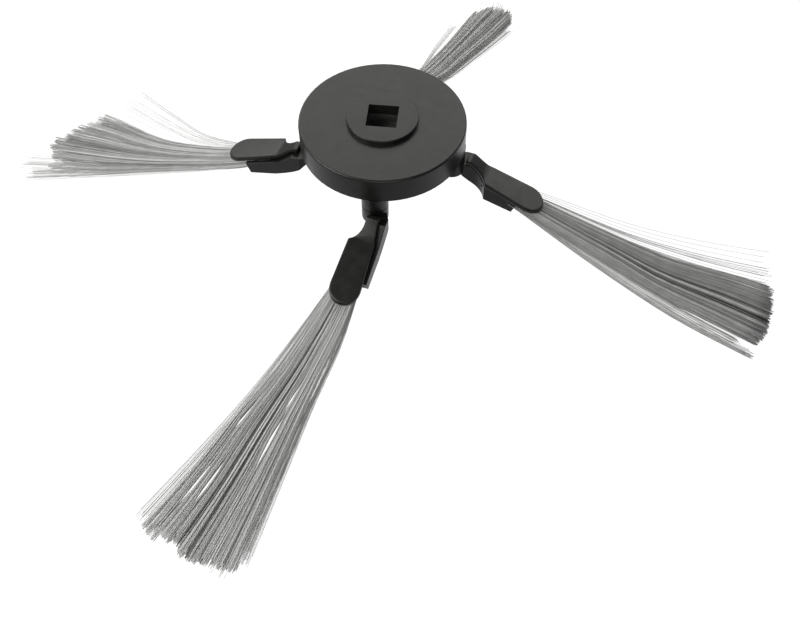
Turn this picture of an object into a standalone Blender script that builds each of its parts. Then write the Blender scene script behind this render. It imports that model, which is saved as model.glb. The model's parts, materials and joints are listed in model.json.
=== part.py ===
"""Side brush of a robotic floor cleaner: a round hub and four sprung arms, each with a bristle tuft.

The hub's axis is Z. The brush stands on the tips of its bristles at z = 0, with the square drive
socket facing up. Arm 1 has its pivot on +X, and the others follow at quarter turns.
"""

import math

import bmesh
import bpy
from mathutils import Matrix, Vector

MM = 0.001
GAP = 0.3 * MM  # clearance between pieces that touch
ARMS = 4
ROUND_SEGMENTS = 64
SMALL_SEGMENTS = 24
BARREL_SEGMENTS = 32
BORE_SEGMENTS = 16
PEG_SEGMENTS = 12
PAST = 40 * MM  # how far a cutter reaches past the part
SHARP_ANGLE = math.radians(35)

# Hub
HUB_TOP = 54.4 * MM
HUB_RADIUS = 27 * MM
HUB_HEIGHT = 8.8 * MM
HUB_EDGE = 0.7 * MM
COVER_WALL = 1.6 * MM
COVER_ROOF = 2.2 * MM
BOSS_RADIUS = 11.6 * MM
BOSS_HEIGHT = 1.6 * MM
BOSS_EDGE = 0.35 * MM
BASE_THICKNESS = 2.4 * MM
BASE_DROP = 0.6 * MM  # how far the base stands below the cover's rim

# Drive socket
SOCKET_SIDE = 9.8 * MM
SOCKET_DEPTH = 7.1 * MM
INSERT_SIDE = 15 * MM
INSERT_FLOOR = 1.2 * MM
INSERT_EDGE = 0.8 * MM
COLLAR_WALL = 1.4 * MM
COLLAR_DEPTH = 4 * MM

# Cover screws
SCREW_CIRCLE = 15.5 * MM
SCREW_SHANK = 1 * MM
SCREW_HEAD = 2.4 * MM
SCREW_HEAD_HEIGHT = 1.5 * MM
SCREW_LENGTH = 6 * MM
SCREW_POINT = 0.6 * MM
HEAD_FACE = 0.8  # share of a head's radius that is flat
HEAD_EDGE = 0.4 * MM
CROSS_SLOT = 0.35 * MM
CROSS_REACH = 1.4 * MM
CROSS_DEPTH = 0.8 * MM
POST_RADIUS = 2.9 * MM

# Arm pivots
PIVOT_CIRCLE = 22.9 * MM
SWEEP = math.radians(13.7)  # how far the arms trail behind the radius
BARREL_RADIUS = 4.3 * MM
BARREL_BOTTOM = HUB_TOP - 14 * MM
SPRING_WELL_RADIUS = 3.4 * MM
SPRING_WELL_DEPTH = 3.8 * MM
PIN_RADIUS = 1.25 * MM
PIN_HEAD_RADIUS = 3.1 * MM
PIN_HEAD_HEIGHT = 1 * MM
PIN_HEAD_RECESS = 0.6 * MM
PIN_STUB = 0.8 * MM  # how far a pin stands past its washer
PIN_CHAMFER = 0.3 * MM
WASHER_RADIUS = 2.3 * MM
WASHER_THICKNESS = 0.6 * MM
SPRING_RADIUS = 2.65 * MM
SPRING_WIRE = 0.25 * MM
SPRING_TURNS = 4
SPRING_STEPS = 14

# Arm, in its own frame: X outwards from the pivot, Y across, Z from the hub's top face
DROOP = math.radians(20.8)
KNUCKLE_RADIUS = 4.3 * MM
KNUCKLE_TOP = -14.3 * MM
KNUCKLE_BOTTOM = -19.6 * MM
BODY_LEFT = 5.8 * MM
BODY_RIGHT = -4.1 * MM
NECK_RIGHT = -0.6 * MM
NECK_RISE = 1.2 * MM  # how far the neck ends above the knuckle's lower face
SHOULDER = ((3.6 * MM, 5.8 * MM), (0.6 * MM, 4.2 * MM))
BODY_DEPTH_IN = 7.1 * MM
BODY_DEPTH_OUT = 6.2 * MM
BODY_LENGTH = 13.6 * MM  # from the plate's inner end
BELLY_START = 3.6 * MM
UNDERSIDE = ((9.2 * MM, -24.6 * MM), (6.5 * MM, -23.2 * MM), (4 * MM, -21.6 * MM))
NOTCH_CENTRE = (7.6 * MM, -6 * MM)
NOTCH_RADIUS = 5.4 * MM
BODY_EDGE = 0.7 * MM
PLATE_START = 12.1 * MM
PLATE_TOP = -18.35 * MM
PLATE_LENGTH = 21.7 * MM
PLATE_HALF_IN = 4.4 * MM
PLATE_HALF_OUT = 5.1 * MM
PLATE_THICKNESS = 1.6 * MM
PLATE_FLARE = ((13.2 * MM, 4.4 * MM), (10.4 * MM, 4 * MM), (8 * MM, 3.7 * MM))
TONGUE_START = 4.9 * MM
TONGUE_LEFT = 3.7 * MM
LEDGE_END = 6.5 * MM
PLATE_EDGE = 0.5 * MM
CHANNEL_LEFT = 4.6 * MM
CHANNEL_RIGHT = -3.1 * MM
CHANNEL_START = 3.6 * MM  # from the plate's inner end
CHANNEL_END = 22 * MM
CHANNEL_DEPTH = 4 * MM
PEG_RADIUS = 0.9 * MM
PEG_LENGTH = 1.8 * MM
PEG_AT = 1.3 * MM
PEG_SPREAD = 2.2 * MM
STAPLE_WIRE = 0.35 * MM
STAPLE_AT = 0.9 * MM  # past the channel's inner end
STAPLE_TOP = 0.6 * MM
STAPLE_FOOT = 0.7 * MM
STAPLE_SIDE = 0.8 * MM

# Bristle tuft
TUFT_REACH = 112 * MM  # from the pivot to the middle of the tip, along the arm
TUFT_TIP_HEIGHT = 3.15 * MM
TUFT_SETS = (0, -13 * MM, -4 * MM, -16.3 * MM)  # how far each tip has bent to the left
TUFT_TIP_WIDTHS = (31 * MM, 31 * MM, 30 * MM, 33 * MM)
TUFT_START = 1.8 * MM  # past the channel's inner end
TUFT_ROOT_WIDTH = 7 * MM
TUFT_ROOT_THICKNESS = 3 * MM
TUFT_TIP_THICKNESS = 6.4 * MM
TUFT_BEND = 1.6  # power of the length that the sideways set follows
TUFT_FLARE = 0.85
TUFT_SECTIONS = 10
TUFT_SIDES = 16
STEP = 0.01
ROOT_SHARE = 0.12  # share of the tuft's length that the arm holds


def clear_scene():
    for thing in list(bpy.data.objects):
        bpy.data.objects.remove(thing, do_unlink=True)


def new_collection(name):
    collection = bpy.data.collections.new(name)
    bpy.context.scene.collection.children.link(collection)
    return collection


def make_material(name, colour, roughness, metallic=0.0):
    material = bpy.data.materials.new(name)
    material.use_nodes = True
    shader = material.node_tree.nodes["Principled BSDF"]
    shader.inputs["Base Color"].default_value = (*colour, 1)
    shader.inputs["Roughness"].default_value = roughness
    shader.inputs["Metallic"].default_value = metallic
    return material


def add_object(name, mesh, collection):
    thing = bpy.data.objects.new(name, mesh)
    collection.objects.link(thing)
    return thing


def mesh_of(shape, name="shape"):
    """Turns a bmesh into a mesh and frees it."""
    bmesh.ops.recalc_face_normals(shape, faces=shape.faces)
    mesh = bpy.data.meshes.new(name)
    shape.to_mesh(mesh)
    shape.free()
    return mesh


def cylinder_mesh(radius, bottom, top, at=(0, 0), segments=SMALL_SEGMENTS, top_radius=None):
    shape = bmesh.new()
    middle = Matrix.Translation((at[0], at[1], (bottom + top) / 2))
    bmesh.ops.create_cone(
        shape,
        cap_ends=True,
        segments=segments,
        radius1=radius,
        radius2=radius if top_radius is None else top_radius,
        depth=top - bottom,
        matrix=middle,
    )
    return mesh_of(shape)


def box_mesh(low, high):
    low, high = Vector(low), Vector(high)
    shape = bmesh.new()
    place = Matrix.Translation((low + high) / 2) @ Matrix.Diagonal((*(high - low), 1))
    bmesh.ops.create_cube(shape, size=1, matrix=place)
    return mesh_of(shape)


def prism_mesh(outline, low, high, upright=False):
    """An outline of points carried from low to high along Z, or along Y where it is upright."""
    shape = bmesh.new()
    if upright:
        corners = [shape.verts.new((x, low, z)) for x, z in outline]
        carry = Vector((0, high - low, 0))
    else:
        corners = [shape.verts.new((x, y, low)) for x, y in outline]
        carry = Vector((0, 0, high - low))
    face = shape.faces.new(corners)
    grown = bmesh.ops.extrude_face_region(shape, geom=[face])["geom"]
    moved = [item for item in grown if isinstance(item, bmesh.types.BMVert)]
    bmesh.ops.translate(shape, verts=moved, vec=carry)
    return mesh_of(shape)


def arc(centre, radius, start, end, steps):
    """Points on a circle, from the start angle to the end angle in degrees."""
    turns = [math.radians(start + (end - start) * i / steps) for i in range(steps + 1)]
    return [(centre[0] + radius * math.cos(t), centre[1] + radius * math.sin(t)) for t in turns]


def combine(thing, mesh, operation, cutters):
    """Adds a Boolean with a helper made from the mesh."""
    helper = add_object(f"{thing.name}_{operation.lower()}", mesh, cutters)
    helper.hide_render = True
    helper.display_type = "WIRE"
    helper.matrix_world = thing.matrix_world.copy()
    modifier = thing.modifiers.new(operation.title(), "BOOLEAN")
    modifier.operation = operation
    modifier.solver = "EXACT"
    modifier.object = helper
    return helper


def add_bevel(thing, width, segments=2, angle=40):
    modifier = thing.modifiers.new("Rounded edges", "BEVEL")
    modifier.width = width
    modifier.segments = segments
    modifier.limit_method = "ANGLE"
    modifier.angle_limit = math.radians(angle)
    modifier.use_clamp_overlap = True
    return modifier


def add_turning(thing, segments=ROUND_SEGMENTS):
    modifier = thing.modifiers.new("Turned", "SCREW")
    modifier.steps = segments
    modifier.render_steps = segments
    modifier.use_merge_vertices = True
    modifier.merge_threshold = 0.00001
    return modifier


def profile_mesh(points):
    """An open profile in the XZ plane, for a Screw."""
    shape = bmesh.new()
    corners = [shape.verts.new((x, 0, z)) for x, z in points]
    for first, second in zip(corners, corners[1:]):
        shape.edges.new((first, second))
    mesh = bpy.data.meshes.new("profile")
    shape.to_mesh(mesh)
    shape.free()
    return mesh


def finished_mesh(thing, helpers=()):
    """The mesh with its modifiers applied; the object and its helpers are removed."""
    bpy.context.view_layer.update()
    graph = bpy.context.evaluated_depsgraph_get()
    mesh = bpy.data.meshes.new_from_object(thing.evaluated_get(graph))
    for old in (thing, *helpers):
        bpy.data.objects.remove(old, do_unlink=True)
    return mesh


def tube_mesh(points, radius, collection, resolution=1):
    """A round wire along the points, with welded caps."""
    curve = bpy.data.curves.new("wire", "CURVE")
    curve.dimensions = "3D"
    curve.bevel_depth = radius
    curve.bevel_resolution = resolution
    curve.use_fill_caps = True
    spline = curve.splines.new("POLY")
    spline.points.add(len(points) - 1)
    for target, point in zip(spline.points, points):
        target.co = (*point, 1)
    mesh = finished_mesh(add_object("wire", curve, collection))
    shape = bmesh.new()
    shape.from_mesh(mesh)
    bmesh.ops.remove_doubles(shape, verts=shape.verts, dist=0.000001)
    return mesh_of(shape)


def shade(mesh):
    mesh.shade_smooth()
    mesh.set_sharp_from_angle(angle=SHARP_ANGLE)


def around(index, radius, offset=0.0):
    """The point on a circle for arm number index, counted from zero."""
    turn = 2 * math.pi * index / ARMS + offset
    return (radius * math.cos(turn), radius * math.sin(turn))


def make_hub_cover(parts, cutters, plastic):
    """The cap: a turned shell with screw posts, a collar for the socket insert and the square hole."""
    rim = HUB_TOP - HUB_HEIGHT
    ceiling = HUB_TOP - COVER_ROOF
    boss_top = HUB_TOP + BOSS_HEIGHT
    edge = [
        (HUB_RADIUS - HUB_EDGE + x, HUB_TOP - HUB_EDGE + z)
        for x, z in arc((0, 0), HUB_EDGE, 90, 0, 5)
    ]
    boss_edge = [
        (BOSS_RADIUS - BOSS_EDGE + x, boss_top - BOSS_EDGE + z)
        for x, z in arc((0, 0), BOSS_EDGE, 90, 0, 3)
    ]
    profile = [(0, boss_top), *boss_edge, (BOSS_RADIUS, HUB_TOP), *edge]
    profile += [(HUB_RADIUS, rim), (HUB_RADIUS - COVER_WALL, rim)]
    profile += [(HUB_RADIUS - COVER_WALL, ceiling), (0, ceiling)]
    cover = add_object("hub_cover", profile_mesh(profile), parts)
    add_turning(cover)
    post_bottom = rim - BASE_DROP + BASE_THICKNESS + GAP
    for index in range(ARMS):
        place = around(index, SCREW_CIRCLE, math.pi / ARMS)
        post = cylinder_mesh(POST_RADIUS, post_bottom, HUB_TOP - COVER_ROOF / 2, place)
        combine(cover, post, "UNION", cutters)
    outer = INSERT_SIDE / 2 + GAP + COLLAR_WALL
    collar_bottom = ceiling - COLLAR_DEPTH
    collar = box_mesh((-outer, -outer, collar_bottom), (outer, outer, HUB_TOP - COVER_ROOF / 2))
    combine(cover, collar, "UNION", cutters)
    inner = INSERT_SIDE / 2 + GAP
    pocket = box_mesh((-inner, -inner, collar_bottom - MM), (inner, inner, ceiling))
    combine(cover, pocket, "DIFFERENCE", cutters)
    half = SOCKET_SIDE / 2
    hole = box_mesh((-half, -half, ceiling - MM), (half, half, boss_top + MM))
    combine(cover, hole, "DIFFERENCE", cutters)
    for index in range(ARMS):
        place = around(index, SCREW_CIRCLE, math.pi / ARMS)
        bore = cylinder_mesh(SCREW_SHANK + GAP, post_bottom - MM, ceiling, place, BORE_SEGMENTS)
        combine(cover, bore, "DIFFERENCE", cutters)
    cover.data.materials.append(plastic)


def make_drive_socket(parts, cutters, plastic):
    """The square-bored insert that the robot's shaft drives."""
    half = INSERT_SIDE / 2
    top = HUB_TOP - COVER_ROOF - GAP
    floor = HUB_TOP + BOSS_HEIGHT - SOCKET_DEPTH
    bore = SOCKET_SIDE / 2
    insert = add_object(
        "drive_socket",
        box_mesh((-half, -half, floor - INSERT_FLOOR), (half, half, top)),
        parts,
    )
    add_bevel(insert, INSERT_EDGE)
    cutter = box_mesh((-bore, -bore, floor), (bore, bore, top + MM))
    combine(insert, cutter, "DIFFERENCE", cutters)
    insert.data.materials.append(plastic)


def make_hub_base(parts, cutters, plastic):
    """The plate under the cover, with a barrel over each knuckle and a recess for each screw."""
    rim = HUB_TOP - HUB_HEIGHT
    bottom = rim - BASE_DROP
    radius = HUB_RADIUS - COVER_WALL - GAP
    base = add_object(
        "hub_base",
        cylinder_mesh(radius, bottom, bottom + BASE_THICKNESS, segments=ROUND_SEGMENTS),
        parts,
    )
    for index in range(ARMS):
        place = around(index, PIVOT_CIRCLE)
        barrel = cylinder_mesh(BARREL_RADIUS, BARREL_BOTTOM, rim - GAP, place, BARREL_SEGMENTS)
        combine(base, barrel, "UNION", cutters)
    for index in range(ARMS):
        place = around(index, PIVOT_CIRCLE)
        well_top = BARREL_BOTTOM + SPRING_WELL_DEPTH
        well = cylinder_mesh(SPRING_WELL_RADIUS, BARREL_BOTTOM - MM, well_top, place)
        combine(base, well, "DIFFERENCE", cutters)
        bore = cylinder_mesh(PIN_RADIUS + GAP, BARREL_BOTTOM, HUB_TOP, place)
        combine(base, bore, "DIFFERENCE", cutters)
        place = around(index, SCREW_CIRCLE, math.pi / ARMS)
        recess_top = bottom + SCREW_HEAD_HEIGHT
        recess = cylinder_mesh(SCREW_HEAD + GAP, bottom - MM, recess_top, place)
        combine(base, recess, "DIFFERENCE", cutters)
        hole = cylinder_mesh(SCREW_SHANK + GAP, bottom, HUB_TOP, place, BORE_SEGMENTS)
        combine(base, hole, "DIFFERENCE", cutters)
    base.data.materials.append(plastic)


def make_cover_screws(parts, cutters, steel):
    """Screws with a cross recess, standing head down."""
    head = [(0, 0), (SCREW_HEAD * HEAD_FACE, 0), (SCREW_HEAD, HEAD_EDGE)]
    head += [(SCREW_HEAD, SCREW_HEAD_HEIGHT - GAP), (SCREW_SHANK, SCREW_HEAD_HEIGHT - GAP)]
    head += [(SCREW_SHANK, SCREW_LENGTH), (0, SCREW_LENGTH + SCREW_POINT)]
    screw = add_object("screw", profile_mesh(head[::-1]), parts)
    add_turning(screw, SMALL_SEGMENTS)
    helpers = [
        combine(screw, box_mesh((-x, -y, -MM), (x, y, CROSS_DEPTH)), "DIFFERENCE", cutters)
        for x, y in ((CROSS_REACH, CROSS_SLOT), (CROSS_SLOT, CROSS_REACH))
    ]
    mesh = finished_mesh(screw, helpers)
    shade(mesh)
    mesh.materials.append(steel)
    bottom = HUB_TOP - HUB_HEIGHT - BASE_DROP
    for index in range(ARMS):
        thing = add_object(f"cover_screw_{index + 1}", mesh, parts)
        thing.location = (*around(index, SCREW_CIRCLE, math.pi / ARMS), bottom)


def pin_mesh():
    """A headed pin, head down, in the arm's frame."""
    head_top = KNUCKLE_BOTTOM + PIN_HEAD_RECESS - GAP
    head_bottom = head_top - PIN_HEAD_HEIGHT
    washer_top = -HUB_HEIGHT - BASE_DROP + BASE_THICKNESS + GAP + WASHER_THICKNESS
    end = washer_top + PIN_STUB
    points = [(0, end), (PIN_RADIUS - PIN_CHAMFER, end)]
    points += [(PIN_RADIUS, end - PIN_CHAMFER), (PIN_RADIUS, head_top)]
    points += [(PIN_HEAD_RADIUS, head_top), (PIN_HEAD_RADIUS, head_bottom + HEAD_EDGE)]
    points += [(PIN_HEAD_RADIUS * HEAD_FACE, head_bottom), (0, head_bottom)]
    return profile_mesh(points)


def spring_points():
    """A close coil with two short straight legs, in the arm's frame."""
    bottom = KNUCKLE_TOP + 2 * GAP + SPRING_WIRE
    top = BARREL_BOTTOM - HUB_TOP + SPRING_WELL_DEPTH - GAP - SPRING_WIRE
    count = SPRING_TURNS * SPRING_STEPS
    points = []
    for step in range(count + 1):
        turn = 2 * math.pi * step / SPRING_STEPS
        rise = bottom + (top - bottom) * step / count
        points.append((SPRING_RADIUS * math.cos(turn), SPRING_RADIUS * math.sin(turn), rise))
    return points


def notch(reach):
    """The hollow in the right side of the neck, as far across as the reach."""
    end = math.degrees(math.asin((reach - NOTCH_CENTRE[1]) / NOTCH_RADIUS))
    return arc(NOTCH_CENTRE, NOTCH_RADIUS, 90, end, 6)


def body_outline():
    """The arm seen from above: a straight left side, and a notch in the right side of the neck."""
    end = PLATE_START + BODY_LENGTH
    return [(end, BODY_RIGHT), (end, BODY_LEFT), *SHOULDER, (0, NECK_RIGHT)] + notch(BODY_RIGHT)


def on_slope(along, depth):
    """A point of the arm's side view: along the plate from its inner end, and below its top."""
    x = PLATE_START + along * math.cos(DROOP) - depth * math.sin(DROOP)
    z = PLATE_TOP - along * math.sin(DROOP) - depth * math.cos(DROOP)
    return (x, z)


def body_side():
    """The arm's side view, below the clamp plate."""
    seat = PLATE_THICKNESS + GAP
    neck_top = KNUCKLE_TOP - seat
    top = [(0, neck_top), (LEDGE_END, neck_top), on_slope(0, seat), on_slope(BODY_LENGTH, seat)]
    bottom = [on_slope(BODY_LENGTH, BODY_DEPTH_OUT), on_slope(BELLY_START, BODY_DEPTH_IN)]
    inside = KNUCKLE_BOTTOM + NECK_RISE
    return top + bottom + [*UNDERSIDE, (MM, inside), (0, inside)]


def arm_mesh(parts, cutters, plastic):
    """Knuckle, neck and channel as one moulding."""
    arm = add_object("arm", prism_mesh(body_side(), BODY_RIGHT, BODY_LEFT, upright=True), parts)
    helpers = [combine(arm, prism_mesh(body_outline(), -PAST, 0), "INTERSECT", cutters)]
    add_bevel(arm, BODY_EDGE, segments=3)
    size = (KNUCKLE_RADIUS, KNUCKLE_BOTTOM, KNUCKLE_TOP)
    knuckle = cylinder_mesh(*size, segments=BARREL_SEGMENTS)
    helpers.append(combine(arm, knuckle, "UNION", cutters))
    bore = cylinder_mesh(PIN_RADIUS + GAP, KNUCKLE_BOTTOM - MM, KNUCKLE_TOP + MM)
    helpers.append(combine(arm, bore, "DIFFERENCE", cutters))
    recess_top = KNUCKLE_BOTTOM + PIN_HEAD_RECESS
    recess = cylinder_mesh(PIN_HEAD_RADIUS + GAP, -PAST, recess_top)
    helpers.append(combine(arm, recess, "DIFFERENCE", cutters))
    seat = PLATE_THICKNESS + GAP
    channel_side = [
        on_slope(CHANNEL_START, seat - MM),
        on_slope(CHANNEL_END, seat - MM),
        on_slope(CHANNEL_END, seat + CHANNEL_DEPTH),
        on_slope(CHANNEL_START, seat + CHANNEL_DEPTH),
    ]
    channel = prism_mesh(channel_side, CHANNEL_RIGHT, CHANNEL_LEFT, upright=True)
    helpers.append(combine(arm, channel, "DIFFERENCE", cutters))
    for side in (-1, 1):
        low = -seat - PEG_LENGTH - GAP
        hole = cylinder_mesh(PEG_RADIUS + GAP, low, 0, segments=PEG_SEGMENTS)
        hole.transform(peg_place(side))
        helpers.append(combine(arm, hole, "DIFFERENCE", cutters))
    mesh = finished_mesh(arm, helpers)
    shade(mesh)
    mesh.materials.append(plastic)
    return mesh


def peg_place(side):
    """The frame of a peg under the clamp plate: its Z stands square to the plate's top face."""
    x, z = on_slope(PEG_AT, 0)
    across = (BODY_LEFT + BODY_RIGHT) / 2 + side * PEG_SPREAD
    return Matrix.Translation((x, across, z)) @ Matrix.Rotation(DROOP, 4, "Y")


def plate_outline():
    """The clamp plate seen from above: a round outer end and a tongue towards the knuckle."""
    end = on_slope(PLATE_LENGTH, 0)[0]
    round_end = arc((end - PLATE_HALF_OUT, 0), PLATE_HALF_OUT, -90, 90, 12)
    tongue = [(TONGUE_START, TONGUE_LEFT), (TONGUE_START, NECK_RIGHT)]
    return [*round_end, *PLATE_FLARE, *tongue, *notch(-PLATE_HALF_IN)]


def plate_side():
    """The clamp plate's side view: the plate, the slope of its tongue and a short flat ledge."""
    past = PLATE_LENGTH + MM
    under = KNUCKLE_TOP - PLATE_THICKNESS
    top = [(0, KNUCKLE_TOP), (LEDGE_END, KNUCKLE_TOP), on_slope(0, 0), on_slope(past, 0)]
    bottom = [on_slope(past, PLATE_THICKNESS), on_slope(0, PLATE_THICKNESS)]
    return top + bottom + [(LEDGE_END, under), (0, under)]


def plate_mesh(parts, cutters, plastic):
    plate = add_object("plate", prism_mesh(plate_side(), -PAST, PAST, upright=True), parts)
    helpers = [combine(plate, prism_mesh(plate_outline(), -PAST, 0), "INTERSECT", cutters)]
    add_bevel(plate, PLATE_EDGE, segments=2)
    for side in (-1, 1):
        low = -PLATE_THICKNESS - PEG_LENGTH
        peg = cylinder_mesh(PEG_RADIUS, low, -PLATE_THICKNESS / 2, segments=PEG_SEGMENTS)
        peg.transform(peg_place(side))
        helpers.append(combine(plate, peg, "UNION", cutters))
    mesh = finished_mesh(plate, helpers)
    shade(mesh)
    mesh.materials.append(plastic)
    return mesh


def tuft_centre(share, tip_side):
    """The middle of the tuft at a share of its length, in the arm's frame."""
    seat = PLATE_THICKNESS + GAP + CHANNEL_DEPTH / 2
    start = on_slope(CHANNEL_START + TUFT_START, seat)
    slope_in = -math.tan(DROOP)
    length = TUFT_REACH - start[0]
    tip = TUFT_TIP_HEIGHT - HUB_TOP
    bend = tip - start[1] - slope_in * length
    middle = (CHANNEL_LEFT + CHANNEL_RIGHT) / 2
    x = start[0] + length * share
    y = middle + (tip_side - middle) * share**TUFT_BEND
    z = start[1] + slope_in * length * share + bend * share**2
    return Vector((x, y, z))


def tuft_mesh(bristle, tip_side, tip_width):
    """A closed solid of the tuft's outer shape: oval rings that widen towards the tip."""
    shape = bmesh.new()
    rings = []
    for section in range(TUFT_SECTIONS + 1):
        share = section / TUFT_SECTIONS
        centre = tuft_centre(share, tip_side)
        ahead = tuft_centre(share + STEP, tip_side) - tuft_centre(share, tip_side)
        across = Vector((0, 0, 1)).cross(ahead).normalized()
        above = ahead.cross(across).normalized()
        spread = (max(share - ROOT_SHARE, 0) / (1 - ROOT_SHARE)) ** TUFT_FLARE
        half_width = (TUFT_ROOT_WIDTH + (tip_width - TUFT_ROOT_WIDTH) * spread) / 2
        swell = TUFT_TIP_THICKNESS - TUFT_ROOT_THICKNESS
        half_height = (TUFT_ROOT_THICKNESS + swell * spread) / 2
        ring = []
        for side in range(TUFT_SIDES):
            turn = 2 * math.pi * side / TUFT_SIDES
            offset = across * half_width * math.cos(turn) + above * half_height * math.sin(turn)
            ring.append(shape.verts.new(centre + offset))
        rings.append(ring)
    for first, second in zip(rings, rings[1:]):
        for side in range(TUFT_SIDES):
            after = (side + 1) % TUFT_SIDES
            shape.faces.new((first[side], first[after], second[after], second[side]))
    shape.faces.new(rings[0])
    shape.faces.new(rings[-1])
    mesh = mesh_of(shape, "tuft")
    shade(mesh)
    mesh.materials.append(bristle)
    return mesh


def staple_mesh(parts, steel):
    """A wire staple that lies across the folded root of the tuft."""
    seat = PLATE_THICKNESS + GAP
    along = CHANNEL_START + STAPLE_AT
    high = on_slope(along, seat + STAPLE_TOP)
    low = on_slope(along, seat + CHANNEL_DEPTH - STAPLE_FOOT)
    left, right = CHANNEL_LEFT - STAPLE_SIDE, CHANNEL_RIGHT + STAPLE_SIDE
    points = [(low[0], left, low[1]), (high[0], left, high[1])]
    points += [(high[0], right, high[1]), (low[0], right, low[1])]
    mesh = tube_mesh(points, STAPLE_WIRE, parts)
    shade(mesh)
    mesh.materials.append(steel)
    return mesh


def make_pivots(parts, steel):
    """The pins, their washers and the return springs, which stay with the hub."""
    pin = add_object("pin", pin_mesh(), parts)
    add_turning(pin, SMALL_SEGMENTS)
    pin_shape = finished_mesh(pin)
    washer_low = -HUB_HEIGHT - BASE_DROP + BASE_THICKNESS + GAP
    ring = [(PIN_RADIUS + GAP, washer_low + WASHER_THICKNESS)]
    ring += [(WASHER_RADIUS, washer_low + WASHER_THICKNESS), (WASHER_RADIUS, washer_low)]
    ring += [(PIN_RADIUS + GAP, washer_low), ring[0]]
    washer = add_object("washer", profile_mesh(ring), parts)
    add_turning(washer, SMALL_SEGMENTS)
    washer_shape = finished_mesh(washer)
    spring_shape = tube_mesh(spring_points(), SPRING_WIRE, parts, resolution=0)
    named = (("pivot_pin", pin_shape), ("pin_washer", washer_shape), ("return_spring", spring_shape))
    for name, mesh in named:
        shade(mesh)
        mesh.materials.append(steel)
        for index in range(ARMS):
            thing = add_object(f"{name}_{index + 1}", mesh, parts)
            thing.location = (*around(index, PIVOT_CIRCLE), HUB_TOP)
            thing.rotation_euler.z = 2 * math.pi * index / ARMS


def make_arms(parts, cutters, plastic, bristle, steel):
    """Four arms, each parented to an empty on its pivot's axis."""
    meshes = {
        "arm": arm_mesh(parts, cutters, plastic),
        "clamp_plate": plate_mesh(parts, cutters, plastic),
        "tuft_staple": staple_mesh(parts, steel),
    }
    for index in range(ARMS):
        pivot = add_object(f"pivot_{index + 1}", None, parts)
        pivot.location = (*around(index, PIVOT_CIRCLE), HUB_TOP)
        pivot.rotation_euler.z = 2 * math.pi * index / ARMS - SWEEP
        for name, mesh in meshes.items():
            add_object(f"{name}_{index + 1}", mesh, parts).parent = pivot
        tuft = tuft_mesh(bristle, TUFT_SETS[index], TUFT_TIP_WIDTHS[index])
        add_object(f"tuft_{index + 1}", tuft, parts).parent = pivot


def main():
    clear_scene()
    parts = new_collection("robot_side_brush")
    cutters = new_collection("cutters")
    plastic = make_material("black_plastic", (0.035, 0.035, 0.034), 0.42)
    socket_plastic = make_material("socket_plastic", (0.02, 0.02, 0.02), 0.5)
    bristle = make_material("grey_nylon", (0.33, 0.34, 0.35), 0.5)
    steel = make_material("steel", (0.6, 0.6, 0.6), 0.3, metallic=1.0)
    make_hub_cover(parts, cutters, plastic)
    make_drive_socket(parts, cutters, socket_plastic)
    make_hub_base(parts, cutters, plastic)
    make_cover_screws(parts, cutters, steel)
    make_pivots(parts, steel)
    make_arms(parts, cutters, plastic, bristle, steel)


main()
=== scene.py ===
"""Looks of the side brush: moulded black plastic, steel fittings and tufts of grey nylon filament.

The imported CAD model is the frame. The four plain tuft solids are replaced by filaments that are
laid out in each arm's own frame: a runs outwards from the pivot, b to the left, z up.
"""

import json
import math

import bpy
import numpy as np
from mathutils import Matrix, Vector

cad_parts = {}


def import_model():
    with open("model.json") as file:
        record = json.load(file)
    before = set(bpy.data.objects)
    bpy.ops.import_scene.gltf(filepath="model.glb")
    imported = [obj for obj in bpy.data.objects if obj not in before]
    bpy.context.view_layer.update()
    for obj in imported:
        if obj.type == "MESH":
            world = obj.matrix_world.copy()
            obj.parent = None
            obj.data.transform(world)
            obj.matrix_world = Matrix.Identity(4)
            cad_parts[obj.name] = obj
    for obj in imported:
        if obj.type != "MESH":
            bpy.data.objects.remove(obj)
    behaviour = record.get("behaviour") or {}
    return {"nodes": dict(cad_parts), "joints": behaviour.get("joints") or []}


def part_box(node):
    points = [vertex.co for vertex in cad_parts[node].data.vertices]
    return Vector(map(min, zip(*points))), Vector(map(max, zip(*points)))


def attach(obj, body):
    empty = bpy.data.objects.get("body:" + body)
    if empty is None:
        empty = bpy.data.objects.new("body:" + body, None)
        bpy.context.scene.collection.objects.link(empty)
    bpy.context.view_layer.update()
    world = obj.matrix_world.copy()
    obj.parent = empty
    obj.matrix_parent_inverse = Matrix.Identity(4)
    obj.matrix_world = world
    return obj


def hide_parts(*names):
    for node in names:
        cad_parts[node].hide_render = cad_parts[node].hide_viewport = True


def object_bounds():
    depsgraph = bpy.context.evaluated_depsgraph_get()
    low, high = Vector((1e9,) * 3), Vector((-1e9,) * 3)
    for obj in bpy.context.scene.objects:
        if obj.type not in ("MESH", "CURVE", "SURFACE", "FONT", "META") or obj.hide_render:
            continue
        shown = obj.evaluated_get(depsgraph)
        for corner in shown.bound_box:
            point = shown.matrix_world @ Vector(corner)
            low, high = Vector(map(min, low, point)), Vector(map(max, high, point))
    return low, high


MM = 0.001

# Shape of the arms, as the CAD model has it
SWEEP = math.radians(13.7)
BOSS_HEIGHT = 1.6 * MM
DROOP = math.radians(20.8)
ROOT_A = 17 * MM
ROOT_Z = -23.9 * MM  # middle of the channel at ROOT_A, from the hub's top face
TIP_A = 112 * MM
TIP_Z = -51.25 * MM

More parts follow.
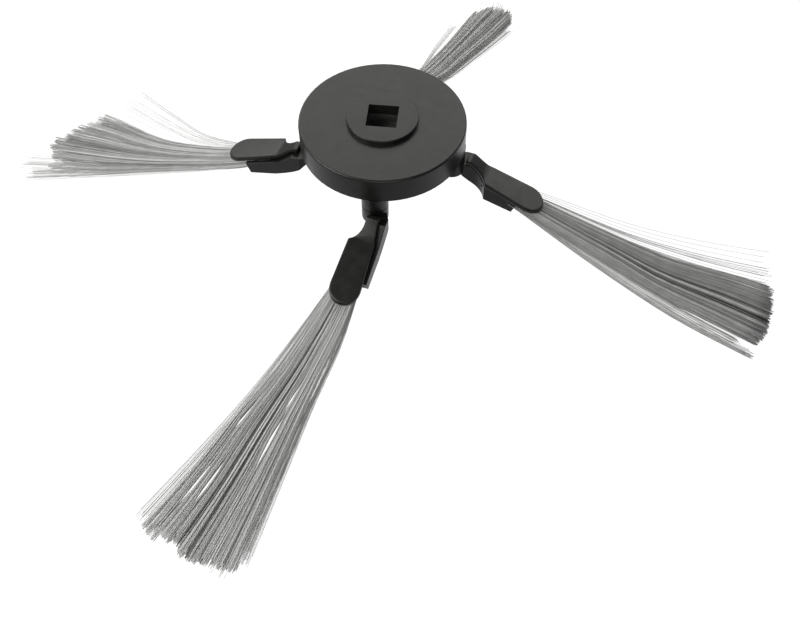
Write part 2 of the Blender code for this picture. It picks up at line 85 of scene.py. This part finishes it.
# Filaments
FILAMENT_RADIUS = 0.115 * MM
WISP_RADIUS = 0.062 * MM
FILAMENT_SIDES = 5
FILAMENT_RINGS = 18
HALF_THICKNESS = np.array(((17, 1.5), (25, 1.55), (34, 1.7), (60, 2.0), (112, 2.6))) * MM  # at each a
EDGE_INSET = 0.8  # share of the thickness that the edges are drawn in by
FAN_LENGTH = 45 * MM  # run over which filaments part from their places in the root
CLEAR_OF_FLOOR = 1.3  # least height of a centreline, in filament radii

# How the filaments gather into clumps and stray from them
CLUMP_WIDTHS = (0.6, 1.5)  # against each other
CLUMP_GATHER = (0.7, 0.96)  # width left at the tip
CLUMP_LIFT = 0.35 * MM
TIP_SCATTER = 0.12  # in half widths of a clump
ROOT_SCATTER = 0.03  # in widths of the tuft
STRAY_SHARE = 0.04
STRAY_SCATTER = 0.05
CUT_SCATTER = 0.8 * MM
SHORT_SHARE = 0.04
SHORT_BY = (1 * MM, 9 * MM)
WAVES = (3, 7)  # radians along a filament
WAVE_ACROSS = 0.006
WAVE_UP = 0.15 * MM
SLIT_FADE = 1.3 * MM
SLIT_FULL = 1.5  # how much sooner than its ends a slit is fully open
TONE_BANDS = ((64, 0.09), (17, 0.05))  # cells across a tuft and their strength
TONE_SCATTER = 0.05
RADIUS_SCATTER = (0.85, 1.15)
SEED = 7

# Loose filaments
WISP_CUT_SCATTER = 0.02  # in lengths
WISP_LIFT = 0.6 * MM
WISP_GATHER = 0.2  # share of the sideways spread that is there at the root
WISP_TONE = 0.66
WISP_TONE_SCATTER = 0.1

# Edges at least this sharp get a small radius
SHARP_ANGLE = math.radians(28)
EDGE_RADIUS = 0.12 * MM
JOIN_DISTANCE = 0.0005 * MM

# Darkest and lightest tone of each plastic; the socket's tones are lifted above the moulded black to
# paint in light inside its enclosed recess
MOULDED_TONES = ((0.008, 0.008, 0.0076), (0.014, 0.014, 0.0133))
SOCKET_PAINTED_LIGHT_TONES = ((0.05, 0.05, 0.049), (0.075, 0.075, 0.073))

# Camera, placed from the middle of the hub's top face
CAMERA_AT = (29.11 * MM, -228.98 * MM, 218.48 * MM)
CAMERA_TILT = math.radians(35.295)
CAMERA_TURN = math.radians(5.857)
CAMERA_LENS = 43.905
CAMERA_SENSOR = 36

# Soft boxes: name, azimuth and elevation in degrees, width and height in metres, radiance
LIGHT_COLOUR = (1, 0.995, 0.97)
LIGHT_DISTANCE = 1.2
LIGHTS = (
    ("back_box", (1, 40), (2.6, 0.88), 1.45),
    ("back_left_box", (42, 28), (0.6, 0.5), 1.1),
    ("back_right_box", (-30, 36), (0.5, 0.4), 0.5),
    ("front_box", (190, 27), (0.9, 0.5), 2.2),
    ("left_box", (112, 36), (1.0, 0.8), 4.2),
)

# Surroundings: grey by height, from straight down to straight up, and strength from front to back
WORLD_STOPS = ((0, 0.42), (0.3, 0.42), (0.42, 0.08), (0.6, 0.09), (1, 0.08))
WORLD_STRENGTHS = (0.5, 2.4)
FLOOR_REACH = 12


def clump_edges(*points):
    """Control points of one edge of a tuft, given in millimetres."""
    return np.array(points, float) * MM


# For each tuft: its edges as points (a, b), its cut end as points (b, a), how ragged the cut is, the
# sideways shift of its layers with height in the view, slits (start, end, b, half width), painted
# streaks (place and width in shares of the tuft, depth) and a tone. Streaks are painted into the
# filaments' colour: a positive width makes a dark streak of painted shade between clumps, and a
# negative width makes a light streak of painted light. The tone is the tuft's level of grey, set to
# paint in how much light falls on that tuft. All lengths are in millimetres.
TUFTS = (
    {
        "left": clump_edges(
            (17, 3.6), (32, 4.3), (55, 5.5), (75, 6.5), (90, 9.5), (100, 11.5), (113, 12.8)
        ),
        "right": clump_edges((17, -2.6), (32, -4.6), (60, -8.0), (75, -11.0), (95, -12.5), (112, -14.3)),
        "tips": ((-14.3, 111.5), (-10, 113.2), (-5, 114.6), (1, 115), (6, 114.3), (13, 112.5)),
        "count": 560,
        "clumps": 16,
        "ragged": 0.6,
        "lean": -0.84,
        "slits": (),
        "painted_streaks": (
            (0.36, 0.035, 0.7),
            (0.45, -0.01, 0.3),
            (0.53, 0.015, 0.5),
            (0.14, 0.02, 0.45),
            (0.7, 0.01, 0.3),
        ),
        "tone_and_painted_light": 0.6,
    },
    {
        "left": clump_edges((17, 3.2), (25, 2.8), (42, 1.2), (60, 0.0), (92, -1.5), (108, -4.5)),
        "right": clump_edges((17, -2.7), (25, -4.0), (38, -8.0), (60, -11.0), (80, -14.5), (105, -18.5)),
        "tips": ((-20, 103), (-17, 106), (-13, 107), (-10, 105), (-8.5, 107), (-7.5, 101), (-5, 95)),
        "count": 460,
        "clumps": 11,
        "ragged": 1.4,
        "lean": 0.1,
        "slits": (),
        "painted_streaks": ((0.25, 0.22, 0.16), (0.45, 0.02, 0.2), (0.85, -0.15, 0.08)),
        "tone_and_painted_light": 0.82,
    },
    {
        "left": clump_edges((17, 3.8), (30, 6.2), (50, 7.2), (65, 8.0), (80, 8.6), (103, 9.0)),
        "right": clump_edges(
            (17, -2.7), (30, -3.3), (50, -5.0), (62, -7.0), (72, -10), (90, -17), (98, -19.5)
        ),
        "tips": ((-19.5, 98.5), (-15, 104), (-9, 108), (-3.5, 109), (3, 109.5), (9, 103)),
        "count": 500,
        "clumps": 13,
        "ragged": 2.2,
        "lean": 0.67,
        "slits": (),
        "painted_streaks": ((0.62, 0.018, 0.5), (0.35, 0.015, 0.2)),
        "tone_and_painted_light": 0.66,
    },
    {
        "left": clump_edges((17, 3.4), (32, 3.8), (50, 2.6), (65, 1.2), (80, 0.4), (113, -1.0)),
        "right": clump_edges(
            (17, -2.7), (32, -6.4), (55, -12.6), (73, -19.5), (92, -25.6), (111.5, -33.0)
        ),
        "tips": ((-33.5, 111.5), (-24, 112.5), (-22, 112), (-19, 114), (-10, 115), (0.6, 114)),
        "count": 560,
        "clumps": 22,
        "ragged": 0.8,
        "lean": 0.27,
        "slits": (
            (55, 69, -4.3, 0.42),
            (67, 84, -6.0, 0.46),
            (65, 77, -16.3, 0.5),
            (86, 99, -18.7, 0.52),
            (85, 104, -22.6, 0.52),
            (44, 66, 1.6, 0.35),
        ),
        "painted_streaks": (
            (0.68, 0.014, 0.8),
            (0.55, 0.02, 0.8),
            (0.42, 0.012, 0.6),
            (0.3, 0.012, 0.5),
            (0.93, -0.12, 0.3),
        ),
        "tone_and_painted_light": 0.91,
    },
)

# Loose filaments beside the tufts, in millimetres: arm, how many, points (a, b, height above the
# tuft's middle), spread
WISPS = (
    (0, 9, ((17, 3.2, 0), (32, 5.6, 0.3), (60, 8.4, 0.8), (80, 12.0, 1.2), (112, 20.0, 1.6)), 3.2),
    (0, 12, ((17, 3.2, 0), (32, 4.6, 0.3), (60, 6.4, 0.6), (85, 9.6, 1.0), (113, 15.0, 1.2)), 2.4),
    (0, 26, ((17, -2.4, 0), (32, -5.6, 0), (60, -11.4, 0), (85, -15.8, 0), (112, -18.2, 0)), 1.3),
    (0, 40, ((17, -2.4, 0), (32, -4.4, 0), (60, -8.6, 0), (85, -12.6, 0), (106, -15.2, 0)), 1.8),
    (1, 10, ((17, 3.2, 0), (42, 2.0, 0.3), (60, 2.6, 0.6), (84, 2.4, 0.8)), 0.7),
    (1, 18, ((17, -2.4, 0), (37, -9.0, 0), (60, -13.0, 0), (92, -19.4, 0.3)), 1.1),
    (1, 16, ((17, -2.4, 0), (60, -8, 0), (100, -9.5, 1), (113, -7.5, 1.4)), 2.8),
    (2, 40, ((17, 3.4, 0), (36, 6.0, 0.2), (60, 8.4, 0.6), (85, 11.4, 1.0), (106, 12.6, 1.0)), 1.1),
    (2, 30, ((17, 3.4, 0), (36, 6.0, 0.2), (60, 8.6, 0.8), (90, 13.2, 1.4), (112, 17.2, 1.8)), 1.6),
    (2, 16, ((17, 3.2, 0), (50, 6.2, 0), (90, 8.2, 0.4), (119, 10.6, 0.5)), 1.5),
    (2, 9, ((17, -2.6, 0), (46, -6.5, 0.4), (70, -14.5, 1.5), (92, -24, 2.4)), 2.4),
    (2, 8, ((17, -2.6, 0), (46, -8.0, 0.6), (68, -18.0, 2.0), (88, -28.0, 3.4)), 2.8),
    (3, 18, ((17, -2.4, 0), (30, -6.0, 0), (60, -15.4, 0), (110, -34.8, 0)), 1.1),
    (3, 30, ((17, 3.0, 0), (40, 3.8, 0), (65, 1.8, 0), (112, 0.2, 0.3)), 0.8),
    (3, 12, ((17, 3.0, 0), (60, 1.5, 0), (113, -3.5, 0.3), (117, -4.0, 0.3)), 1.6),
)


def smooth_curve(points, at):
    """A curve through points of (position, value, ...) that doesn't swing past them."""
    points = np.asarray(points, float)
    x, y = points[:, 0], points[:, 1:]
    secant = np.diff(y, axis=0) / np.diff(x)[:, None]
    before, after = secant[:-1], secant[1:]
    product = before * after
    level = np.where(product > 0, before + after, 1)
    slope = np.concatenate([secant[:1], np.where(product > 0, 2 * product / level, 0), secant[-1:]])
    i = np.clip(np.searchsorted(x, at) - 1, 0, len(x) - 2)
    h = x[i + 1] - x[i]
    t = ((at - x[i]) / h)[..., None]
    beyond = (t - np.clip(t, 0, 1)) * h[..., None]
    t = np.clip(t, 0, 1)
    h = h[..., None]
    along = (1 + 2 * t) * (1 - t) ** 2 * y[i] + t**2 * (3 - 2 * t) * y[i + 1]
    ends = np.where(beyond > 0, slope[i + 1], slope[i]) * beyond
    return along + h * (t * (1 - t) ** 2 * slope[i] - t**2 * (1 - t) * slope[i + 1]) + ends


def middle_height(a):
    """Height of a tuft's middle surface below the hub's top face: down the slope, then levelling out."""
    length = TIP_A - ROOT_A
    share = (a - ROOT_A) / length
    fall = -math.tan(DROOP) * length
    bend = TIP_Z - ROOT_Z - fall
    return ROOT_Z + fall * share + bend * share**2


def half_thickness(a):
    return np.interp(a, HALF_THICKNESS[:, 0], HALF_THICKNESS[:, 1])


def ease(x):
    x = np.clip(x, 0, 1)
    return x * x * (3 - 2 * x)


def edge_values(shape, a):
    """The right and left edges' b at an array of a, drawn in by what the thickness adds in the view."""
    flat = a.ravel()
    right, left = (smooth_curve(shape[side], flat)[:, 0].reshape(a.shape) for side in ("right", "left"))
    inset = EDGE_INSET * abs(shape["lean"]) * half_thickness(a)
    return right + inset, left - inset


def open_slits(shape, a, b, rise):
    """Parts the filaments at each slit, along the run of the filaments around it."""
    for start, end, middle, half in shape["slits"]:
        centre, reach = (start + end) / 2 * MM, (end - start) / 2 * MM
        right, left = edge_values(shape, np.array([centre]))
        share = (middle * MM - right) / (left - right)
        right, left = edge_values(shape, a)
        offset = b - shape["lean"] * rise - (right + (left - right) * share)
        window = ease(SLIT_FULL * (1 - np.abs((a - centre) / reach)))
        side = np.where((offset * window).sum(axis=1, keepdims=True) > 0, 1, -1)
        b = b + side * half * MM * np.exp(-np.abs(offset) / SLIT_FADE) * window
    return b


def run_of_values(share, cells, rng):
    """Random values that change smoothly across the tuft."""
    return np.interp(share * cells, np.arange(cells + 1), rng.normal(0, 1, cells + 1))


def filament_tones_and_painted_light(shape, tip, rng):
    """A tone for each filament: the tuft's level, which paints in how much light falls on that tuft,
    random bands across it, and its streaks of painted shade and painted light.
    """
    # Each tuft's own level is painted light: it is set to how much light falls on that tuft.
    tone_and_painted_light = shape["tone_and_painted_light"]
    for cells, strength in TONE_BANDS:
        tone_and_painted_light = tone_and_painted_light + strength * run_of_values(tip, cells, rng)
    tone_and_painted_light = tone_and_painted_light + rng.normal(0, TONE_SCATTER, shape["count"])
    # Painted streaks: dark ones are painted shade between clumps, light ones are painted light.
    for place, width, depth in shape["painted_streaks"]:
        near = np.exp(-(((tip - place) / width) ** 2))
        tone_and_painted_light = tone_and_painted_light - math.copysign(depth, width) * near
    return tone_and_painted_light


def tuft_lines(shape, rng):
    """Centrelines of a tuft's filaments as an array of (filament, ring, abz), and their tones, which
    carry painted light and shade.
    """
    count, clumps = shape["count"], shape["clumps"]
    widths = rng.uniform(*CLUMP_WIDTHS, clumps)
    ends = np.concatenate([[0], np.cumsum(widths) / widths.sum()])
    share = (np.arange(count) + rng.uniform(0, 1, count)) / count
    clump = np.clip(np.searchsorted(ends, share) - 1, 0, clumps - 1)
    centre = (ends[clump] + ends[clump + 1]) / 2
    reach = (ends[clump + 1] - ends[clump]) / 2
    gather = rng.uniform(*CLUMP_GATHER, clumps)[clump]
    tip = centre + (share - centre) * gather + rng.normal(0, TIP_SCATTER, count) * reach
    root = np.clip(tip + rng.normal(0, ROOT_SCATTER, count), 0.01, 0.99)
    stray = rng.uniform(0, 1, count) < STRAY_SHARE
    tip = np.clip(np.where(stray, tip + rng.normal(0, STRAY_SCATTER, count), tip), 0, 1)
    layer = rng.uniform(-1, 1, count)
    lift = rng.normal(0, CLUMP_LIFT, clumps)[clump]

    tips = np.array(shape["tips"], float) * MM
    right, left = edge_values(shape, np.array([TIP_A]))
    length = np.interp(right + (left - right) * tip, tips[:, 0], tips[:, 1])
    length = length + rng.normal(0, shape["ragged"], clumps)[clump] * MM
    length = length - np.abs(rng.normal(0, CUT_SCATTER, count))
    short = rng.uniform(0, 1, count) < SHORT_SHARE
    length = np.where(short, length - rng.uniform(*SHORT_BY, count), length)

    t = np.linspace(0, 1, FILAMENT_RINGS)
    a = ROOT_A + (length[:, None] - ROOT_A) * t
    part = ease((a - ROOT_A) / FAN_LENGTH)
    across = root[:, None] * (1 - part) + tip[:, None] * part
    wave = rng.uniform(0, 2 * math.pi, count)[:, None] + rng.uniform(*WAVES, count)[:, None] * t
    across = across + WAVE_ACROSS * np.sin(wave) * t
    right, left = edge_values(shape, a)
    b = right + (left - right) * across
    rise = layer[:, None] * half_thickness(a) + lift[:, None] * t
    rise = rise + WAVE_UP * np.sin(wave * 1.3 + layer[:, None] * 9) * t
    b = open_slits(shape, a, b, rise)
    lines = np.stack([a, b, middle_height(a) + rise], axis=-1)
    return lines, filament_tones_and_painted_light(shape, tip, rng)


def wisp_lines(arm, rng):
    """Centrelines of the loose filaments beside one arm's tuft."""
    lines = []
    for index, count, points, scatter in WISPS:
        if index != arm:
            continue
        points = np.array(points, float) * MM
        for _ in range(count):
            end = points[-1, 0] * (1 - abs(rng.normal(0, WISP_CUT_SCATTER)))
            t = np.linspace(0, 1, FILAMENT_RINGS)
            a = points[0, 0] + (end - points[0, 0]) * t
            path = smooth_curve(points, a)
            sideways, upwards = rng.normal(0, scatter * MM), rng.normal(0, WISP_LIFT)
            b = path[:, 0] + sideways * (WISP_GATHER + (1 - WISP_GATHER) * t)
            z = middle_height(a) + path[:, 1] + upwards * t
            lines.append(np.stack([a, b, z], axis=-1))
    return np.array(lines)


def to_world(lines, pivot, hub_top, turn):
    a, b, z = lines[..., 0], lines[..., 1], lines[..., 2]
    x = pivot.x + a * math.cos(turn) - b * math.sin(turn)
    y = pivot.y + a * math.sin(turn) + b * math.cos(turn)
    return np.stack([x, y, np.maximum(hub_top + z, CLEAR_OF_FLOOR * FILAMENT_RADIUS)], axis=-1)


def filament_mesh(name, lines, tone_and_painted_light, radius):
    """A mesh of closed round filaments along the centrelines, with a tone for each; the bristles' tones
    carry painted light and shade.
    """
    count, rings = lines.shape[:2]
    ahead = np.gradient(lines, axis=1)
    ahead /= np.linalg.norm(ahead, axis=-1, keepdims=True)
    side = np.cross(ahead, [0, 0, 1.0])
    side /= np.linalg.norm(side, axis=-1, keepdims=True)
    above = np.cross(side, ahead)
    turn = 2 * math.pi * np.arange(FILAMENT_SIDES) / FILAMENT_SIDES
    thick = radius[:, None, None, None]
    ring = side[:, :, None] * np.cos(turn)[:, None] + above[:, :, None] * np.sin(turn)[:, None]
    points = (lines[:, :, None] + thick * ring).reshape(-1, 3)
    first = np.arange(count * rings).reshape(count, rings) * FILAMENT_SIDES
    low = (first[:, :-1, None] + np.arange(FILAMENT_SIDES)).reshape(-1, FILAMENT_SIDES)
    after = np.roll(low, -1, axis=1)
    quads = np.stack([low, after, after + FILAMENT_SIDES, low + FILAMENT_SIDES], axis=-1)
    quads = quads.reshape(-1, 4)
    starts = first[:, 0, None] + np.arange(FILAMENT_SIDES)[::-1]
    ends = first[:, -1, None] + np.arange(FILAMENT_SIDES)
    caps = np.concatenate([starts, ends])
    loops = np.concatenate([quads.ravel(), caps.ravel()])
    sizes = np.concatenate([np.full(len(quads), 4), np.full(len(caps), FILAMENT_SIDES)])
    mesh = bpy.data.meshes.new(name)
    mesh.vertices.add(len(points))
    mesh.vertices.foreach_set("co", points.astype(np.float32).ravel())
    mesh.loops.add(len(loops))
    mesh.loops.foreach_set("vertex_index", loops.astype(np.int32))
    mesh.polygons.add(len(sizes))
    starts_at = np.concatenate([[0], np.cumsum(sizes)[:-1]])
    mesh.polygons.foreach_set("loop_start", starts_at.astype(np.int32))
    mesh.update(calc_edges=True)
    smooth = np.concatenate([np.ones(len(quads), bool), np.zeros(len(caps), bool)])
    mesh.polygons.foreach_set("use_smooth", smooth)
    # Each filament's tone, painted light and shade included, for the material to read.
    tone_and_painted_light_values = mesh.attributes.new("tone_and_painted_light", "FLOAT", "POINT")
    tone_and_painted_light_values.data.foreach_set("value", np.repeat(tone_and_painted_light, rings * FILAMENT_SIDES).astype(np.float32))
    mesh.validate()
    return mesh


# Materials


def new_material(name):
    material = bpy.data.materials.new(name)
    material.use_nodes = True
    nodes = material.node_tree.nodes
    return material, nodes, material.node_tree.links, nodes["Principled BSDF"]


def noise(nodes, links, source, scale, detail=3, roughness=0.5, stretch=(1, 1, 1)):
    """A noise in object space; scale is in cycles per metre."""
    mapping = nodes.new("ShaderNodeMapping")
    mapping.inputs["Scale"].default_value = stretch
    links.new(source.outputs["Object"], mapping.inputs["Vector"])
    made = nodes.new("ShaderNodeTexNoise")
    made.inputs["Scale"].default_value = scale
    made.inputs["Detail"].default_value = detail
    made.inputs["Roughness"].default_value = roughness
    links.new(mapping.outputs["Vector"], made.inputs["Vector"])
    return made.outputs["Fac"]


def spread(nodes, links, value, low, high, start=0.3, end=0.7):
    """Carries a noise's middle range onto low to high."""
    made = nodes.new("ShaderNodeMapRange")
    made.inputs["From Min"].default_value = start
    made.inputs["From Max"].default_value = end
    made.inputs["To Min"].default_value = low
    made.inputs["To Max"].default_value = high
    links.new(value, made.inputs["Value"])
    return made.outputs["Result"]


def ramp(nodes, links, value, stops):
    made = nodes.new("ShaderNodeValToRGB")
    elements = made.color_ramp.elements
    while len(elements) < len(stops):
        elements.new(0.5)
    for element, (position, colour) in zip(elements, stops):
        element.position = position
        element.color = (*colour, 1)
    links.new(value, made.inputs["Fac"])
    return made.outputs["Color"]


def bump(nodes, links, value, strength, distance, previous=None):
    made = nodes.new("ShaderNodeBump")
    made.inputs["Strength"].default_value = strength
    made.inputs["Distance"].default_value = distance
    links.new(value, made.inputs["Height"])
    if previous is not None:
        links.new(previous, made.inputs["Normal"])
    return made.outputs["Normal"]


def plastic(name, dark, light, rough, grain):
    """Moulded plastic: a faint spark-eroded grain, a little flow mottling and uneven gloss."""
    material, nodes, links, shader = new_material(name)
    place = nodes.new("ShaderNodeTexCoord")
    flow = noise(nodes, links, place, 160, detail=4, stretch=(1, 1, 2.5))
    colour = ramp(nodes, links, flow, ((0.3, dark), (0.7, light)))
    links.new(colour, shader.inputs["Base Color"])
    patches = noise(nodes, links, place, 420, detail=5, roughness=0.6)
    links.new(spread(nodes, links, patches, *rough), shader.inputs["Roughness"])
    fine = noise(nodes, links, place, 3800, detail=2)
    waves = noise(nodes, links, place, 90, detail=1)
    normal = bump(nodes, links, waves, 0.25, 0.12 * MM)
    normal = bump(nodes, links, fine, grain, 0.02 * MM, normal)
    links.new(normal, shader.inputs["Normal"])
    shader.inputs["IOR"].default_value = 1.5
    return material


def steel(name, colour, stretch):
    """Plated steel with fine drawn lines and a little dulling."""
    material, nodes, links, shader = new_material(name)
    place = nodes.new("ShaderNodeTexCoord")
    lines = noise(nodes, links, place, 2600, detail=3, stretch=stretch)
    dull = noise(nodes, links, place, 500, detail=4)
    darker = tuple(c * 0.72 for c in colour)
    links.new(ramp(nodes, links, dull, ((0.35, darker), (0.65, colour))), shader.inputs["Base Color"])
    links.new(spread(nodes, links, lines, 0.22, 0.42), shader.inputs["Roughness"])
    links.new(bump(nodes, links, lines, 0.3, 0.01 * MM), shader.inputs["Normal"])
    shader.inputs["Metallic"].default_value = 1
    return material


def nylon(name):
    """Drawn nylon: grey, a little clear, glossy along each filament, and lighter where it is thin."""
    material, nodes, links, shader = new_material(name)
    # The colour follows each filament's tone, which carries painted light and shade as well as random
    # tone.
    tone_and_painted_light = nodes.new("ShaderNodeAttribute")
    tone_and_painted_light.attribute_name = "tone_and_painted_light"
    place = nodes.new("ShaderNodeTexCoord")
    mottle = noise(nodes, links, place, 240, detail=3)
    level = nodes.new("ShaderNodeMath")
    level.operation = "MULTIPLY"
    links.new(tone_and_painted_light.outputs["Fac"], level.inputs[0])
    links.new(spread(nodes, links, mottle, 0.9, 1.1), level.inputs[1])
    stops = ((0, (0.09, 0.092, 0.093)), (0.3, (0.38, 0.385, 0.385)), (0.8, (0.88, 0.885, 0.88)))
    colour = ramp(nodes, links, level.outputs["Value"], stops)
    links.new(colour, shader.inputs["Base Color"])
    gloss = noise(nodes, links, place, 900, detail=2)
    links.new(spread(nodes, links, gloss, 0.3, 0.5), shader.inputs["Roughness"])
    shader.inputs["IOR"].default_value = 1.53
    glow = nodes.new("ShaderNodeBsdfTranslucent")
    links.new(colour, glow.inputs["Color"])
    mix = nodes.new("ShaderNodeMixShader")
    mix.inputs["Fac"].default_value = 0.3
    links.new(shader.outputs["BSDF"], mix.inputs[1])
    links.new(glow.outputs["BSDF"], mix.inputs[2])
    links.new(mix.outputs["Shader"], nodes["Material Output"].inputs["Surface"])
    return material


def floor_material():
    """A plain pale floor that stays bright under a soft shadow."""
    material, nodes, links, shader = new_material("pale_floor")
    shader.inputs["Base Color"].default_value = (0.14, 0.14, 0.14, 1)
    shader.inputs["Roughness"].default_value = 1
    shader.inputs["Specular IOR Level"].default_value = 0
    shader.inputs["Emission Color"].default_value = (1, 1, 1, 1)
    shader.inputs["Emission Strength"].default_value = 0.975
    return material


def soften(thing):
    """Smooth shading on the round faces and a small radius on the crisp edges."""
    thing.data.polygons.foreach_set("use_smooth", [True] * len(thing.data.polygons))
    custom = thing.data.attributes.get("custom_normal")
    if custom is not None:
        thing.data.attributes.remove(custom)
    join = thing.modifiers.new("join_faces", "WELD")
    join.merge_threshold = JOIN_DISTANCE
    radius = thing.modifiers.new("edge_radius", "BEVEL")
    radius.width = EDGE_RADIUS
    radius.segments = 2
    radius.limit_method = "ANGLE"
    radius.angle_limit = SHARP_ANGLE
    even = thing.modifiers.new("even_shading", "WEIGHTED_NORMAL")
    even.weight = 90
    even.keep_sharp = False


def paint(frame):
    black = plastic("moulded_black", *MOULDED_TONES, rough=(0.27, 0.37), grain=0.3)
    # The socket's tones are lifted to paint in light inside its enclosed recess.
    socket = plastic("socket_black", *SOCKET_PAINTED_LIGHT_TONES, rough=(0.5, 0.65), grain=0.5)
    bright = steel("zinc_steel", colour=(0.62, 0.62, 0.6), stretch=(1, 1, 6))
    wire = steel("spring_wire", colour=(0.5, 0.5, 0.5), stretch=(1, 1, 3))
    looks = {
        "hub": black,
        "arm": black,
        "clamp": black,
        "drive": socket,
        "cover": bright,
        "pivot": bright,
        "pin": bright,
        "return": wire,
        "tuft": wire,
    }
    for name, thing in frame["nodes"].items():
        soften(thing)
        thing.data.materials.clear()
        thing.data.materials.append(looks[name.split("_")[0]])


def add_tufts(frame, hub_top):
    """Filaments for each arm, which ride on it and stand for its plain tuft."""
    material = nylon("nylon_filament")
    for index, joint in enumerate(frame["joints"]):
        rng = np.random.default_rng(SEED + index)
        pivot = Vector(joint["pos_m"])
        turn = math.atan2(pivot.y, pivot.x) - SWEEP
        lines, tone_and_painted_light = tuft_lines(TUFTS[index], rng)
        loose = wisp_lines(index, rng)
        loose_tone = rng.normal(WISP_TONE, WISP_TONE_SCATTER, len(loose))
        sets = (("bristles", lines, tone_and_painted_light, FILAMENT_RADIUS), ("wisps", loose, loose_tone, WISP_RADIUS))
        for kind, made, shade, thick in sets:
            name = f"{kind}_{index + 1}"
            radius = rng.uniform(*RADIUS_SCATTER, len(made)) * thick
            world = to_world(made, pivot, hub_top, turn)
            thing = bpy.data.objects.new(name, filament_mesh(name, world, shade, radius))
            bpy.context.scene.collection.objects.link(thing)
            thing.data.materials.append(material)
            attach(thing, joint["child"])
            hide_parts(f"tuft_{index + 1}")


def add_floor(level):
    mesh = bpy.data.meshes.new("floor")
    signs = ((-1, -1), (1, -1), (1, 1), (-1, 1))
    corners = [(x * FLOOR_REACH, y * FLOOR_REACH, level) for x, y in signs]
    mesh.from_pydata(corners, [], [(0, 1, 2, 3)])
    floor = bpy.data.objects.new("floor", mesh)
    bpy.context.scene.collection.objects.link(floor)
    mesh.materials.append(floor_material())
    floor.visible_glossy = False
    floor.visible_diffuse = False


def add_area_light(name, towards, size, radiance, aim):
    """A soft box of the given radiance, facing the aim point."""
    data = bpy.data.lights.new(name, "AREA")
    data.shape = "RECTANGLE"
    data.size, data.size_y = size
    data.energy = math.pi * size[0] * size[1] * radiance
    data.color = LIGHT_COLOUR
    light = bpy.data.objects.new(name, data)
    bpy.context.scene.collection.objects.link(light)
    azimuth, elevation = (math.radians(v) for v in towards)
    way = Vector(
        (
            -math.sin(azimuth) * math.cos(elevation),
            math.cos(azimuth) * math.cos(elevation),
            math.sin(elevation),
        )
    )
    light.location = aim + way * LIGHT_DISTANCE
    light.rotation_mode = "QUATERNION"
    light.rotation_quaternion = way.to_track_quat("Z", "Y")
    light.visible_camera = False


def add_world():
    """Studio surroundings: dim overhead, brighter below and behind, and plain white to the camera."""
    world = bpy.data.worlds.new("studio")
    bpy.context.scene.world = world
    world.use_nodes = True
    nodes, links = world.node_tree.nodes, world.node_tree.links
    back = nodes["Background"]
    place = nodes.new("ShaderNodeTexCoord")
    split = nodes.new("ShaderNodeSeparateXYZ")
    links.new(place.outputs["Generated"], split.inputs["Vector"])
    height = nodes.new("ShaderNodeMapRange")
    height.inputs["From Min"].default_value = -1
    height.inputs["From Max"].default_value = 1
    links.new(split.outputs["Z"], height.inputs["Value"])
    stops = [(position, (grey,) * 3) for position, grey in WORLD_STOPS]
    depth = nodes.new("ShaderNodeMapRange")
    depth.inputs["From Min"].default_value = -1
    depth.inputs["From Max"].default_value = 1
    depth.inputs["To Min"].default_value = WORLD_STRENGTHS[0]
    depth.inputs["To Max"].default_value = WORLD_STRENGTHS[1]
    links.new(split.outputs["Y"], depth.inputs["Value"])
    links.new(depth.outputs["Result"], back.inputs["Strength"])
    links.new(ramp(nodes, links, height.outputs["Result"], stops), back.inputs["Color"])
    plain = nodes.new("ShaderNodeBackground")
    plain.inputs["Color"].default_value = (1, 1, 1, 1)
    path = nodes.new("ShaderNodeLightPath")
    mix = nodes.new("ShaderNodeMixShader")
    links.new(path.outputs["Is Camera Ray"], mix.inputs["Fac"])
    links.new(back.outputs["Background"], mix.inputs[1])
    links.new(plain.outputs["Background"], mix.inputs[2])
    links.new(mix.outputs["Shader"], nodes["World Output"].inputs["Surface"])


def add_camera(hub_top):
    data = bpy.data.cameras.new("camera")
    data.lens = CAMERA_LENS
    data.sensor_width = CAMERA_SENSOR
    camera = bpy.data.objects.new("camera", data)
    bpy.context.scene.collection.objects.link(camera)
    camera.location = Vector(CAMERA_AT) + Vector((0, 0, hub_top))
    camera.rotation_euler = (CAMERA_TILT, 0, CAMERA_TURN)
    bpy.context.scene.camera = camera


def main():
    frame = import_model()
    cad_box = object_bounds()
    hub_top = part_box("hub_cover")[1].z - BOSS_HEIGHT
    paint(frame)
    add_tufts(frame, hub_top)
    add_floor(cad_box[0].z)
    add_world()
    for name, towards, size, radiance in LIGHTS:
        add_area_light(name, towards, size, radiance, Vector((0, 0, hub_top)))
    add_camera(hub_top)
    bpy.context.scene.view_settings.view_transform = "Standard"


main()
